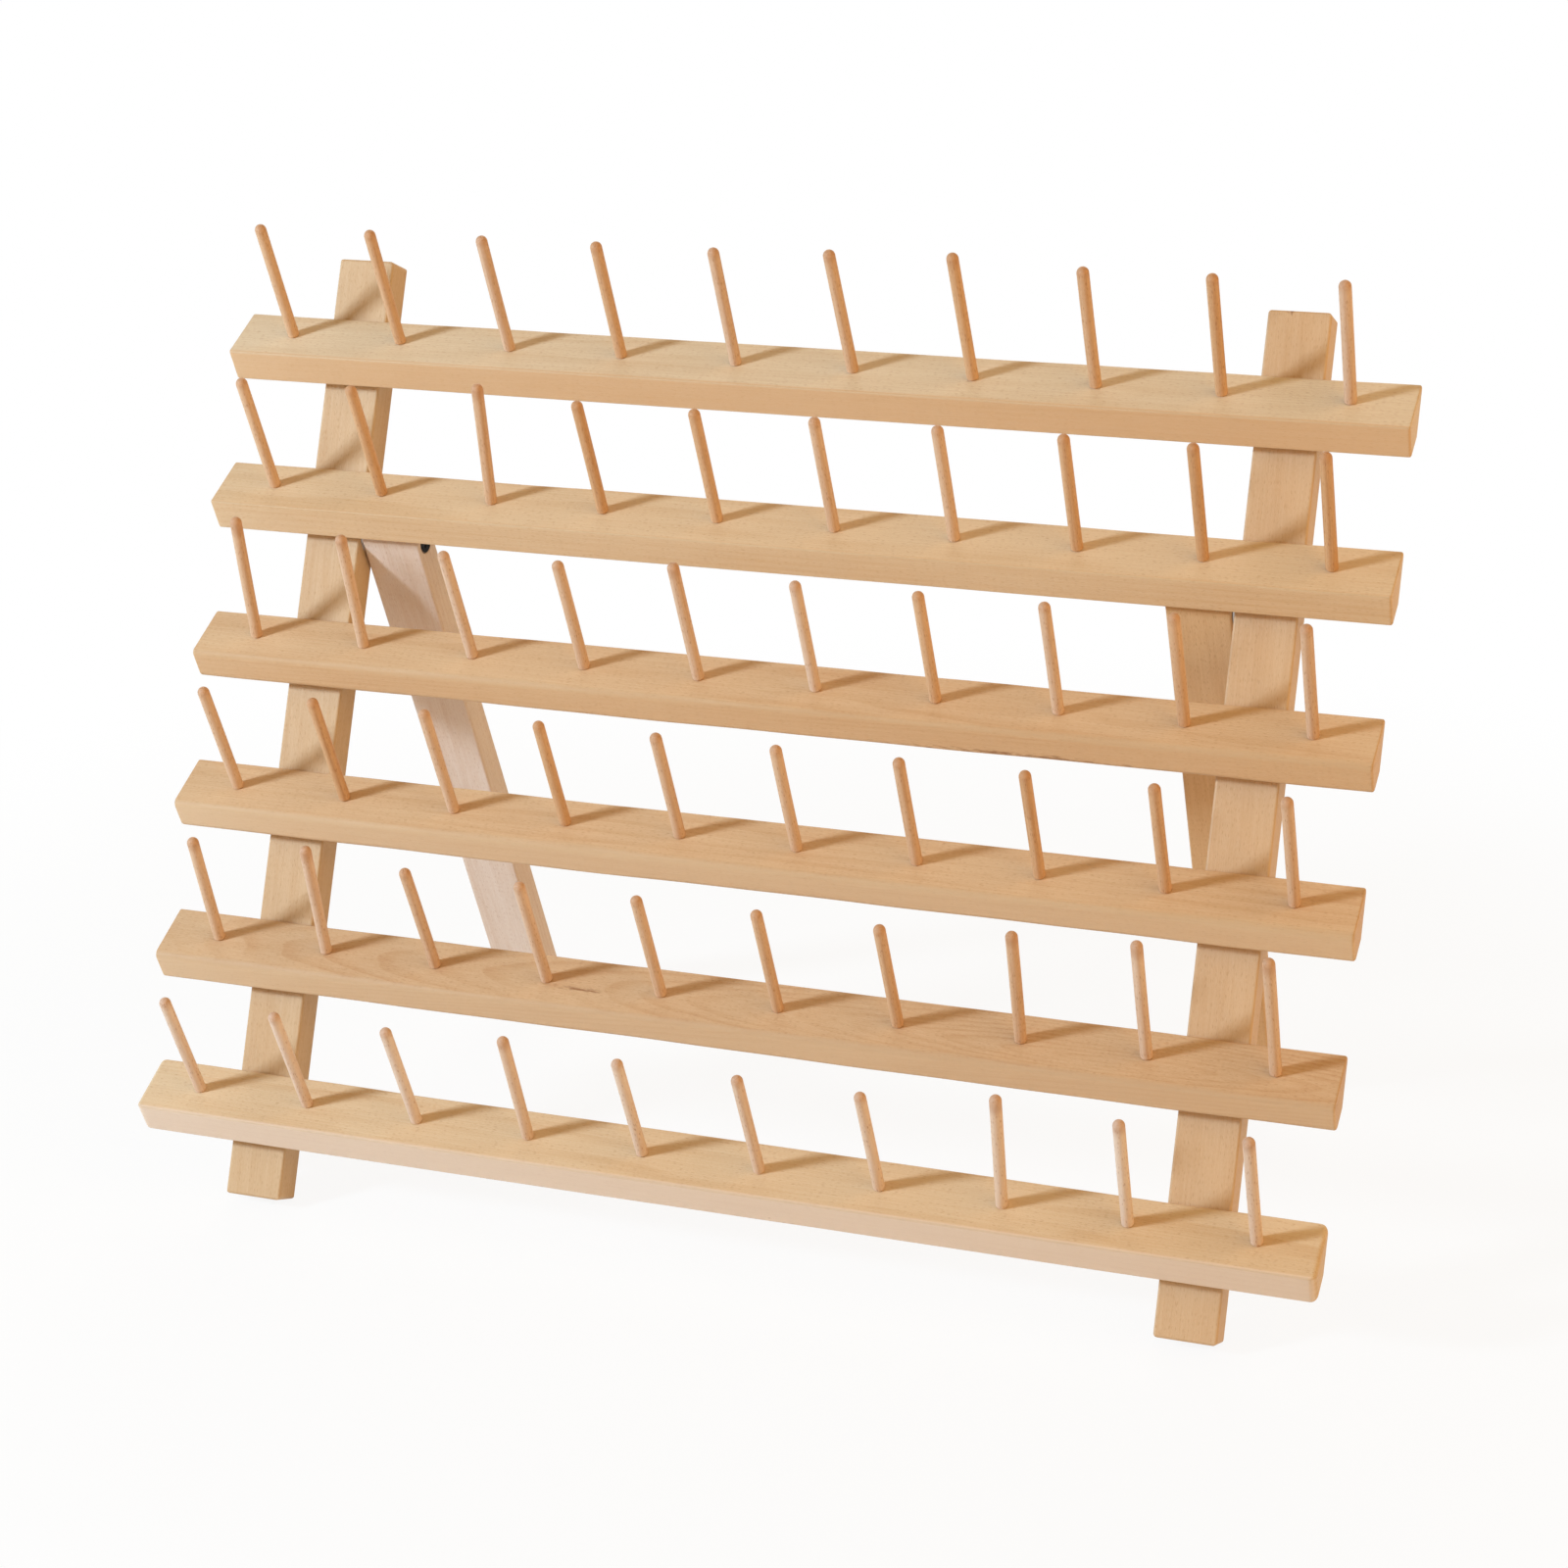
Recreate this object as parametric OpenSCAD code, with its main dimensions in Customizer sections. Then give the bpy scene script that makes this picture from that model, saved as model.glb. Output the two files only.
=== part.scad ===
// Wall thread rack: six sloping rails of pegs on two uprights, standing on two fold-out legs.
// Millimetres, Z up. The rack faces -Y and stands on z = 0. Folded flat, it hangs on a wall.

/* [Uprights] */
// length of each upright
upright_len = 319.5; // [315:0.5:330]
// width of each upright, along the rails
upright_w = 20; // [18:0.5:22]
// thickness of each upright, front to back
upright_t = 11.6; // [11.4:0.1:12.6]
// how far the uprights rise above the first rail
upright_above = 20; // [18:0.5:24]
// from the last rail's back edge down to the uprights' feet
upright_below = 42.5; // [36:0.5:50]
// rounding of the corners at the ends of an upright
upright_corner = 1.5; // [0.5:0.5:3]

/* [Rails] */
// width of a rail across its top face
rail_w = 22.5; // [21:0.5:24]
// thickness of a rail
rail_t = 11.5; // [11:0.5:13]
// angle between the pegs and the uprights
rail_tilt = 48; // [46:0.5:50]
// from the last peg to the end of the rail
rail_end = 20; // [16:1:26]
// rounding of the corners at the ends of a rail
rail_corner = 2.5; // [1:0.5:4]
// rounding of the edges of rails, uprights and legs
edge_round = 0.8; // [0.4:0.1:1.2]

/* [Pegs] */
// diameter of a peg
peg_d = 4; // [3.6:0.1:4.6]
// length of a peg standing out of its rail
peg_len = 45; // [40:1:50]
// depth of a peg in its rail
peg_depth = 6.5; // [6:0.5:7]
// how much thinner a peg is all round where it enters its rail
peg_shoulder = 0.5; // [0.4:0.05:0.6]
// bare foot of a peg between its shoulder and the rail
peg_neck = 0.3; // [0.3:0.05:0.5]
// distance from peg to peg
peg_pitch = 40; // [38:0.5:42]
// from the back edge of a rail to its pegs
peg_back = 11.5; // [11:0.5:12.5]

/* [Legs] */
// width of each leg
leg_w = 21; // [19:0.5:22]
// angle between an open leg and its upright
leg_open = 48; // [46:0.5:50]
// play of a leg behind the rails, open against its stop or folded
leg_play = 0.3; // [0.3:0.05:0.4]
// how far short of the upright's foot a folded leg ends
leg_short = 0; // [0:0.5:6]
// from the back edge of the second rail down to the pivot
pivot_drop = 22; // [20:0.5:24]

/* [Pivot] */
// diameter of the pivot screw
pivot_d = 4; // [3.6:0.1:4.4]
// diameter of the pivot screw's head
pivot_head_d = 7.6; // [7:0.1:8.4]
// length of the pivot screw
pivot_len = 35; // [33:0.5:37]
// running play of a leg on its pivot screw
pivot_play = 0.05; // [0.03:0.01:0.1]
// play around the head of the pivot screw
head_play = 0.45; // [0.4:0.05:0.6]
// diameter of the washer between leg and upright
washer_d = 10; // [9:0.5:11]
// thickness of the washer
washer_t = 0.6; // [0.5:0.1:1]
// side play of a leg on its washer
side_play = 0.2; // [0.15:0.05:0.3]

/* [Rail screws] */
// diameter of a rail screw
screw_d = 3; // [2.6:0.1:3.4]
// diameter of a rail screw's head
screw_head_d = 6; // [5.4:0.1:6.4]
// depth of a rail screw in its rail
screw_grip = 8; // [6:0.5:8]
// play of pegs and screws in their holes
fit_play = 0.05; // [0.03:0.01:0.08]

/* [Hangers] */
// width of a hanger plate
hanger_w = 12; // [11:0.5:13]
// height of a hanger plate
hanger_h = 24; // [23:0.5:25]
// thickness of a hanger plate
hanger_t = 1.5; // [1.2:0.1:1.8]
// from the top of the upright down to the hanger's eye
hanger_drop = 14; // [13.5:0.5:15]
// rim of a hanger plate beyond its screw heads
hanger_rim = 1.6; // [1.4:0.1:1.8]
// diameter of the hanger's eye
eye_d = 6; // [5:0.5:6.5]
// depth of the pocket behind the eye
pocket_depth = 5; // [4:0.5:6]
// diameter of a hanger screw
hanger_screw_d = 2; // [1.8:0.1:2.2]
// diameter of a hanger screw's head
hanger_head_d = 3.8; // [3.6:0.1:4]

/* [Hidden] */
$fn = 48;
rails = 6;
pegs_in_row = 10;
// pegs that stand a little out of line: row, number, lean to the right, lean to the back,
// and the share of the peg's depth that it stands proud
odd_pegs = [
    [1, 6, -2, 1, 0.15],
    [1, 7, -2, 2, 0.25],
    [2, 3, 6, 3, 0.4],
    [3, 1, 5, 5, 0.6],
    [3, 2, 4, 2, 0.3],
    [3, 5, -1, 2, 0.3],
    [5, 1, 4, 1.5, 0.25],
    [5, 2, 5, 3, 0.4],
    [5, 8, 2, 2.5, 0.3],
    [5, 9, 0, 4, 0.45],
    [5, 10, 0, 3, 0.45],
    [6, 4, 1, 2, 0.25],
    [6, 8, 3, 4, 0.55],
    [6, 9, 1, 2, 0.25],
    [6, 10, 0, 2, 0.25]
];
// the rails are spread evenly along the uprights
row_pitch = (upright_len - upright_above - upright_below) / (rails - 1);
rail_len = (pegs_in_row - 1) * peg_pitch + 2 * rail_end;
peg_foot_d = peg_d - 2 * peg_shoulder;
// the uprights stand midway between the last two pegs
upright_x = (pegs_in_row / 2 - 1) * peg_pitch;
// section of a rail from its back edge, with the back cut flat to lie on the uprights
rail_front = [-rail_w * cos(rail_tilt), -rail_w * sin(rail_tilt)];
rail_under = rail_front + [rail_t * sin(rail_tilt), -rail_t * cos(rail_tilt)];
rail_back_h = rail_t / cos(rail_tilt);
rail_section = [[0, 0], rail_front, rail_under, [0, -rail_back_h]];
screw_drop = (rail_back_h + screw_grip * tan(rail_tilt)) / 2;
hanger_screw_at = hanger_h / 2 - hanger_head_d / 2 - hanger_rim;
hanger_screw_len = upright_t - 2;
// a folded leg lies within the thickness of the uprights
leg_t = upright_t - 2 * leg_play;
pivot_y = upright_t / 2;
pivot_z = upright_len - upright_above - row_pitch - pivot_drop;
leg_below = pivot_z - leg_short;
leg_x = upright_x - upright_w / 2 - washer_t - side_play - leg_w / 2;
// the leg's head is cut so that it stops flat against the back of the second rail
leg_tip = (pivot_y - leg_play + leg_t / 2 * cos(leg_open)) / sin(leg_open);
leg_heel = (pivot_y - leg_play - leg_t / 2 * cos(leg_open)) / sin(leg_open);
// the floor touches the rounded back edge of the uprights' feet and the rounded front edge of the legs' feet
foot_y = pivot_y + (leg_below - edge_round) * sin(leg_open) - (leg_t / 2 - edge_round) * cos(leg_open);
foot_z = pivot_z - (leg_below - edge_round) * cos(leg_open) - (leg_t / 2 - edge_round) * sin(leg_open);
lean = atan2(foot_z - edge_round, foot_y - upright_t + edge_round);
foot_lift = edge_round + (upright_t - edge_round) * sin(lean) - edge_round * cos(lean);
// depth from the tips of the lowest pegs to the back of the legs' feet
tip_reach = peg_len - peg_d / 2;
tip_y = -peg_back * cos(rail_tilt) - tip_reach * sin(rail_tilt);
tip_z = rail_z(rails) - peg_back * sin(rail_tilt) + tip_reach * cos(rail_tilt);
depth_front = tip_y * cos(lean) + tip_z * sin(lean) - peg_d / 2;
heel_y = foot_y + (leg_t - 2 * edge_round) * cos(leg_open);
heel_z = foot_z + (leg_t - 2 * edge_round) * sin(leg_open);
depth_back = heel_y * cos(lean) + heel_z * sin(lean) + edge_round;

// height of a rail's back edge above the uprights' feet
function rail_z(row) = upright_len - upright_above - (row - 1) * row_pitch;

// unit vector from one point to another
function toward(a, b) = (b - a) / norm(b - a);

// unit vector square to the line from one point to another, on its right
function square_to(a, b) = [toward(a, b)[1], -toward(a, b)[0]];

// unit vector out of one side of an outline, the side after the point of that number
function side_square(points, i) =
    let (count = len(points))
    square_to(points[(i + count) % count], points[(i + 1 + count) % count]);

// middles of the arcs that round every corner of an outline
function arc_middles(points, r) = [
    for (i = [0 : len(points) - 1])
        let (half = (side_square(points, i - 1) + side_square(points, i)) / 2)
        points[i] - half * r / (half * half)
];

// how one peg stands: row, number, lean to the right, lean to the back, share proud
function odd_peg(row, number) = [
    for (odd = concat(odd_pegs, [[row, number, 0, 0, 0]]))
        if (odd[0] == row && odd[1] == number) odd
][0];

// leans the rack back until it stands on its feet
module stand() {
    translate([0, -(depth_front + depth_back) / 2, foot_lift]) rotate([-lean, 0, 0]) children();
}

// moves to the foot of a peg, with Z along the peg
module at_peg(row, number) {
    set = odd_peg(row, number);
    x = (number - (pegs_in_row + 1) / 2) * peg_pitch;
    translate([x, -peg_back * cos(rail_tilt), rail_z(row) - peg_back * sin(rail_tilt)])
        rotate([rail_tilt - set[3], 0, 0])
        rotate([0, set[2], 0])
        translate([0, 0, -peg_depth * (1 - set[4])])
        children();
}

// moves to a rail screw's head on the back of the right upright, with Z along the screw
module at_rail_screw(row) {
    translate([upright_x, upright_t, rail_z(row) - screw_drop]) rotate([90, 0, 0]) children();
}

// moves to the pivot screw's head on the inner side of the right leg, with Z along the screw
module at_pivot() {
    translate([leg_x - leg_w / 2, pivot_y, pivot_z]) rotate([0, 90, 0]) children();
}

// moves to the eye of the right hanger on the upright's back, with Z into the wood
module at_hanger() {
    translate([upright_x, upright_t, upright_len - hanger_drop]) rotate([90, 0, 0]) children();
}

// countersunk screw with a cross slot, head level with z = 0
module wood_screw(d, head_d, length) {
    difference() {
        rotate_extrude() {
            polygon([[0, 0], [head_d / 2, 0], [d / 2, (head_d - d) / 2], [d / 2, length - d], [0, length]]);
        }
        for (turn = [0, 90]) {
            rotate([0, 0, turn]) cube([head_d * 0.6, head_d * 0.12, head_d * 0.3], center = true);
        }
    }
}

// hole for a countersunk screw, with play around its shank and around its head
module screw_hole(d, head_d, length, shank_play, around_head) {
    translate([0, 0, -1]) cylinder(d = d + 2 * shank_play, h = length + 1 + shank_play);
    translate([0, 0, -1])
        cylinder(d1 = head_d + 2 + 2 * around_head, d2 = d, h = (head_d - d) / 2 + 1 + around_head);
}

// flat plate with round ends
module plate_outline(w, h) {
    square([w, h - w], center = true);
    for (end = [-1, 1]) {
        translate([0, end * (h - w) / 2]) circle(d = w);
    }
}

// outline with rounded corners, its points given anticlockwise
module rounded(points, r) {
    middles = arc_middles(points, r);
    polygon([
        for (i = [0 : len(points) - 1])
            for (step = [-1, 0])
                middles[i] + r * side_square(points, i + step)
    ]);
    for (middle = middles) {
        translate(middle) circle(r = r);
    }
}

// oblong with rounded corners, centred
module rounded_oblong(w, h, r) {
    rounded([[-w / 2, -h / 2], [w / 2, -h / 2], [w / 2, h / 2], [-w / 2, h / 2]], r);
}

// one rail with its peg holes and screw holes
module rail(row) {
    color("burlywood") stand() difference() {
        translate([0, 0, rail_z(row)]) intersection() {
            rotate([90, 0, 90]) linear_extrude(rail_len, center = true) rounded(rail_section, edge_round);
            rotate([rail_tilt, 0, 0]) translate([0, -rail_w / 2, 0]) linear_extrude(4 * rail_t, center = true)
                rounded_oblong(rail_len, rail_w, rail_corner);
            rotate([rail_tilt, 0, 0]) translate([0, 0, -rail_t / 2]) rotate([90, 0, 0])
                linear_extrude(4 * rail_w, center = true) rounded_oblong(rail_len, rail_t, edge_round);
        }
        for (number = [1 : pegs_in_row]) {
            at_peg(row, number) cylinder(d = peg_foot_d + 2 * fit_play, h = peg_depth + rail_t);
        }
        for (side = [0, 1]) {
            mirror([side, 0, 0]) at_rail_screw(row)
                cylinder(d = screw_d + 2 * fit_play, h = upright_t + screw_grip);
        }
    }
}

// one row of pegs with thinner feet and rounded tips
module pegs(row) {
    color("peru") stand() for (number = [1 : pegs_in_row]) {
        lift = odd_peg(row, number)[4] * peg_depth;
        at_peg(row, number) {
            cylinder(d = peg_foot_d, h = peg_depth + tip_reach);
            translate([0, 0, peg_depth - lift + peg_neck])
                cylinder(d = peg_d, h = tip_reach + lift - peg_neck);
            translate([0, 0, peg_depth + tip_reach]) sphere(d = peg_d);
        }
    }
}

// right upright with its screw holes and the pocket for its hanger
module upright() {
    color("burlywood") stand() difference() {
        translate([upright_x, pivot_y, upright_len / 2]) intersection() {
            linear_extrude(upright_len, center = true) rounded_oblong(upright_w, upright_t, edge_round);
            rotate([90, 0, 0]) linear_extrude(2 * upright_t, center = true)
                rounded_oblong(upright_w, upright_len, upright_corner);
            rotate([90, 0, 90]) linear_extrude(2 * upright_w, center = true)
                rounded_oblong(upright_t, upright_len, edge_round);
        }
        for (row = [1 : rails]) {
            at_rail_screw(row) screw_hole(screw_d, screw_head_d, upright_t + screw_grip, fit_play, fit_play);
        }
        at_pivot() cylinder(d = pivot_d + 2 * fit_play, h = pivot_len + fit_play);
        at_hanger() {
            translate([0, 0, -1]) linear_extrude(hanger_t + 1)
                plate_outline(hanger_w + 2 * fit_play, hanger_h + 2 * fit_play);
            cylinder(d = eye_d + 3, h = hanger_t + pocket_depth);
            for (end = [-1, 1]) {
                translate([0, end * hanger_screw_at, 0])
                    cylinder(d = hanger_screw_d + 2 * fit_play, h = hanger_screw_len);
            }
        }
    }
}

// right leg with its head cut to the stop and its pivot hole
module leg() {
    side = [[-leg_t / 2, -leg_below], [leg_t / 2, -leg_below], [leg_t / 2, leg_tip], [-leg_t / 2, leg_heel]];
    leg_len = leg_below + leg_tip;
    color("burlywood") stand() difference() {
        translate([leg_x, pivot_y, pivot_z]) rotate([leg_open, 0, 0]) intersection() {
            rotate([90, 0, 90]) linear_extrude(leg_w, center = true) rounded(side, edge_round);
            translate([0, 0, -leg_below]) linear_extrude(leg_len) rounded_oblong(leg_w, leg_t, edge_round);
            translate([0, 0, leg_len / 2 - leg_below]) rotate([90, 0, 0])
                linear_extrude(2 * leg_t, center = true) rounded_oblong(leg_w, leg_len, edge_round);
        }
        at_pivot() screw_hole(pivot_d, pivot_head_d, leg_w + 1, pivot_play, head_play);
    }
}

// screw that a leg turns on
module pivot_screw() {
    color("dimgray") stand() at_pivot() wood_screw(pivot_d, pivot_head_d, pivot_len);
}

// washer against the upright
module pivot_washer() {
    color("silver") stand() translate([upright_x - upright_w / 2 - washer_t, pivot_y, pivot_z])
        rotate([0, 90, 0])
        difference() {
            cylinder(d = washer_d, h = washer_t);
            translate([0, 0, -1]) cylinder(d = pivot_d + 2 * fit_play, h = washer_t + 2);
        }
}

// screws that hold the rails to an upright
module rail_screws() {
    color("silver") stand() for (row = [1 : rails]) {
        at_rail_screw(row) wood_screw(screw_d, screw_head_d, upright_t + screw_grip);
    }
}

// plate let into the back of an upright, with an eye for a wall screw
module hanger() {
    color("silver") stand() at_hanger() difference() {
        linear_extrude(hanger_t) plate_outline(hanger_w, hanger_h);
        translate([0, 0, -1]) cylinder(d = eye_d, h = hanger_t + 2);
        for (end = [-1, 1]) {
            translate([0, end * hanger_screw_at, 0])
                screw_hole(hanger_screw_d, hanger_head_d, hanger_t + 1, fit_play, fit_play);
        }
    }
}

// screws of one hanger
module hanger_screws() {
    color("silver") stand() at_hanger() for (end = [-1, 1]) {
        translate([0, end * hanger_screw_at, 0]) wood_screw(hanger_screw_d, hanger_head_d, hanger_screw_len);
    }
}

module left_upright() mirror([1, 0, 0]) upright();
module right_upright() upright();
module rail_1() rail(1);
module rail_2() rail(2);
module rail_3() rail(3);
module rail_4() rail(4);
module rail_5() rail(5);
module rail_6() rail(6);
module pegs_row_1() pegs(1);
module pegs_row_2() pegs(2);
module pegs_row_3() pegs(3);
module pegs_row_4() pegs(4);
module pegs_row_5() pegs(5);
module pegs_row_6() pegs(6);
module left_leg() mirror([1, 0, 0]) leg();
module right_leg() leg();
module left_pivot_screw() mirror([1, 0, 0]) pivot_screw();
module right_pivot_screw() pivot_screw();
module left_pivot_washer() mirror([1, 0, 0]) pivot_washer();
module right_pivot_washer() pivot_washer();
module left_rail_screws() mirror([1, 0, 0]) rail_screws();
module right_rail_screws() rail_screws();
module left_hanger() mirror([1, 0, 0]) hanger();
module right_hanger() hanger();
module left_hanger_screws() mirror([1, 0, 0]) hanger_screws();
module right_hanger_screws() hanger_screws();

left_upright();
right_upright();
rail_1();
rail_2();
rail_3();
rail_4();
rail_5();
rail_6();
pegs_row_1();
pegs_row_2();
pegs_row_3();
pegs_row_4();
pegs_row_5();
pegs_row_6();
left_leg();
right_leg();
left_pivot_screw();
right_pivot_screw();
left_pivot_washer();
right_pivot_washer();
left_rail_screws();
right_rail_screws();
left_hanger();
right_hanger();
left_hanger_screws();
right_hanger_screws();
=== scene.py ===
import bpy
import numpy as np
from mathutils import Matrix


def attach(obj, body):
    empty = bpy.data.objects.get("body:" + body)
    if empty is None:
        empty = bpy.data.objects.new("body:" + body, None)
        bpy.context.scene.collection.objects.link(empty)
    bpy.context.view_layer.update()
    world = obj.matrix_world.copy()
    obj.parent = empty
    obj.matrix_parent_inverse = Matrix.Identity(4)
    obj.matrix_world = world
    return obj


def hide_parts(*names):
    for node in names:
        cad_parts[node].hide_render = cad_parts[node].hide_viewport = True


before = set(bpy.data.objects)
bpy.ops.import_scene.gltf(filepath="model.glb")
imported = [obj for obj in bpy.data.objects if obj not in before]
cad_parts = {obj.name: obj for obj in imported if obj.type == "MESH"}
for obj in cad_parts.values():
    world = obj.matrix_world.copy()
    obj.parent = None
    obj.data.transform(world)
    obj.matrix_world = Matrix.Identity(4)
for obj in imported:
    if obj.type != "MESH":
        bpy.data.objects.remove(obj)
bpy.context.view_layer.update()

# Uprights
# Two flat beech strips, planed, sanded and left bare, with their edges broken by hand. The rails
# are screwed to their fronts. The solids stay, with their screw holes and hanger pockets.
MM = 0.001
# how the rack stands on its legs in the frame: its lean, and the way from the uprights' feet to the origin
LEAN = np.radians(24.040084)
STAND_BACK = -90.66777
STAND_LIFT = 4.46905
UPRIGHT_LEN = 319.5
UPRIGHT_W = 20.0
UPRIGHT_T = 11.6
UPRIGHT_X = 160.0
QUARTER_TURN = np.radians(90)
# width and strength of the year rings, and how far the strip was sawn across the grain, in radians
UPRIGHT_RINGS = (2.6, 0.15)
UPRIGHT_TILT = (0.02, 0.015)
# how strongly sawn ends, dark marks, ray flecks and edges darkened by rubbing and painted shade show, and the
# relief of the grain
END_SHARE = 0.25
MARK_SHARE = 0.75
FLECK_SHARE = 0.5
STRIP_SHADE_AND_WEAR = 0.3
STRIP_RELIEF = 0.35
RELIEF_DEPTH = 0.3 * MM
WOOD_SHINE = 0.3


def stand(x, y, z):
    """Rack axes to the shared frame: x goes right, y back from the uprights' fronts and z up along
    them, in millimetres. They are turned back about X by the lean, shifted, and made metres."""
    back = y * np.cos(LEAN) + z * np.sin(LEAN) + STAND_BACK
    up = z * np.cos(LEAN) - y * np.sin(LEAN) + STAND_LIFT
    return np.stack(np.broadcast_arrays(x, back, up), axis=-1) * MM


def paint(red, green, blue):
    """A screen colour of 0 to 255 as the linear colour of a shader, by the usual two-part curve."""
    screen = np.array([red, green, blue]) / 255
    linear = np.where(screen <= 0.04045, screen / 12.92, ((screen + 0.055) / 1.055) ** 2.4)
    return (*linear.tolist(), 1.0)


def feed(tree, socket, value):
    """Joins a socket to another one, or gives it a number or a colour."""
    if isinstance(value, bpy.types.NodeSocket):
        tree.links.new(value, socket)
    else:
        socket.default_value = value


def put(tree, kind, sockets=None, **settings):
    """One shader node: settings are its own values, sockets are numbers, colours or joins."""
    made = tree.nodes.new("ShaderNode" + kind)
    for name, value in settings.items():
        setattr(made, name, value)
    for name, value in (sockets or {}).items():
        feed(tree, made.inputs[name], value)
    return made


def reckon(tree, operation, *terms, clamp=False):
    """One reckoning of one to three terms by a Math node: the socket that carries its answer."""
    return put(tree, "Math", dict(enumerate(terms)), operation=operation, use_clamp=clamp).outputs[0]


def stretch(tree, place, x, y, z):
    """A place multiplied axis by axis, so that a pattern read there is drawn out along the grain."""
    return put(tree, "VectorMath", {0: place, 1: (x, y, z)}, operation="MULTIPLY").outputs[0]


def noise_at(tree, place, detail, scale=1.0, **sockets):
    """A noise pattern at a place, between 0 and 1: the node's outputs."""
    return put(tree, "TexNoise", {"Vector": place, "Scale": scale, "Detail": detail, **sockets}).outputs


def ramp(tree, value, low, high, start=0.0, end=1.0):
    """A soft step from start to end while the value goes from low to high."""
    ends = {"Value": value, "From Min": low, "From Max": high, "To Min": start, "To Max": end}
    return put(tree, "MapRange", ends, interpolation_type="SMOOTHSTEP").outputs["Result"]


def blend_colours(tree, share, first, second):
    """Two colours mixed by a share. A Mix node's colours are its inputs 6 and 7 and its output 2."""
    sockets = {0: share, 6: first, 7: second}
    mixer = put(tree, "Mix", data_type="RGBA", clamp_result=True)
    for number, value in sockets.items():
        feed(tree, mixer.inputs[number], value)
    return mixer.outputs[2]


def open_group(name, inputs, outputs):
    """An empty node group with named sockets. Gives its tree, what comes in and what goes out."""
    tree = bpy.data.node_groups.new(name, "ShaderNodeTree")
    for label, kind in inputs.items():
        tree.interface.new_socket(label, in_out="INPUT", socket_type="NodeSocket" + kind)
    for label, kind in outputs.items():
        tree.interface.new_socket(label, in_out="OUTPUT", socket_type="NodeSocket" + kind)
    return tree, tree.nodes.new("NodeGroupInput").outputs, tree.nodes.new("NodeGroupOutput").inputs


def close_group(tree, ends, **answers):
    """Joins a group's answers to its outputs."""
    for label, socket in answers.items():
        tree.links.new(socket, ends[label])


def use_group(tree, name, **sockets):
    """Places a node group in a material with its own values."""
    made = tree.nodes.new("ShaderNodeGroup")
    made.node_tree = bpy.data.node_groups[name]
    for label, value in sockets.items():
        feed(tree, made.inputs[label], value)
    return made.outputs


def make_beech_grain():
    """Beech as a solid pattern in millimetres, grain along X and the heart of the tree at y = z = 0.
    Year rings are the distance from the heart, pushed about by a slow noise, divided by the ring
    width: each darkens slowly and ends at once. Fibres and slow patches are drawn-out noise, and
    ray flecks are drawn-out cells, half of them left out."""
    inputs = {"Place": "Vector", "Pale": "Color", "Dark": "Color", "Fleck": "Color",
              "Ring_width": "Float", "Ring_share": "Float", "Fleck_share": "Float"}
    tree, given, ends = open_group("beech_grain", inputs,
                                   {"Color": "Color", "Roughness": "Float", "Height": "Float"})
    place = given["Place"]
    wander = noise_at(tree, stretch(tree, place, 0.012, 0.06, 0.06), 2.0)["Color"]
    push = stretch(tree, wander, 0.0, 4.0, 4.0)
    pushed = put(tree, "VectorMath", {0: place, 1: push}, operation="ADD").outputs[0]
    across = stretch(tree, pushed, 0.0, 1.0, 1.0)
    radius = put(tree, "VectorMath", {0: across}, operation="LENGTH").outputs["Value"]
    season = reckon(tree, "FRACT", reckon(tree, "DIVIDE", radius, given["Ring_width"]))
    darkening = ramp(tree, season, 0.35, 0.9)
    ring_end = ramp(tree, season, 0.92, 1.0, 1.0, 0.0)
    ring = reckon(tree, "MULTIPLY", darkening, ring_end)
    fibre = noise_at(tree, stretch(tree, place, 0.035, 1.7, 1.7), 5.0, Roughness=0.65)["Fac"]
    patch = noise_at(tree, stretch(tree, place, 0.007, 0.06, 0.06), 2.0)["Fac"]
    pore = noise_at(tree, stretch(tree, place, 0.9, 5.0, 5.0), 2.0)["Fac"]
    cells = put(tree, "TexVoronoi", {"Vector": stretch(tree, place, 0.42, 2.3, 2.3), "Scale": 1.0})
    pick = put(tree, "SeparateColor", {"Color": cells.outputs["Color"]}).outputs[0]
    spot = ramp(tree, cells.outputs["Distance"], 0.36, 0.12)
    fleck = reckon(tree, "MULTIPLY", spot, ramp(tree, pick, 0.4, 0.6))
    fade = ramp(tree, patch, 0.42, 0.62, 0.25, 1.0)
    ring_part = reckon(tree, "MULTIPLY", reckon(tree, "MULTIPLY", ring, fade), given["Ring_share"])
    fibre_part = reckon(tree, "MULTIPLY_ADD", fibre, 1.1, -0.45)
    patch_part = reckon(tree, "MULTIPLY_ADD", patch, 1.0, -0.28)
    pore_part = reckon(tree, "MULTIPLY_ADD", pore, 0.9, -0.45)
    fine_part = reckon(tree, "ADD", ring_part, fibre_part)
    tone = reckon(tree, "ADD", fine_part, reckon(tree, "ADD", patch_part, pore_part), clamp=True)
    wood = blend_colours(tree, tone, given["Pale"], given["Dark"])
    fleck_part = reckon(tree, "MULTIPLY", fleck, given["Fleck_share"])
    marked = blend_colours(tree, fleck_part, wood, given["Fleck"])
    roughness = reckon(tree, "MULTIPLY_ADD", fleck, 0.12, reckon(tree, "MULTIPLY_ADD", fibre, 0.2, 0.44))
    dips = reckon(tree, "MULTIPLY_ADD", fleck, -0.5, reckon(tree, "MULTIPLY", pore, 0.5))
    height = reckon(tree, "ADD", dips, reckon(tree, "MULTIPLY", fibre, 0.8))
    close_group(tree, ends, Color=marked, Roughness=roughness, Height=height)


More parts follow.
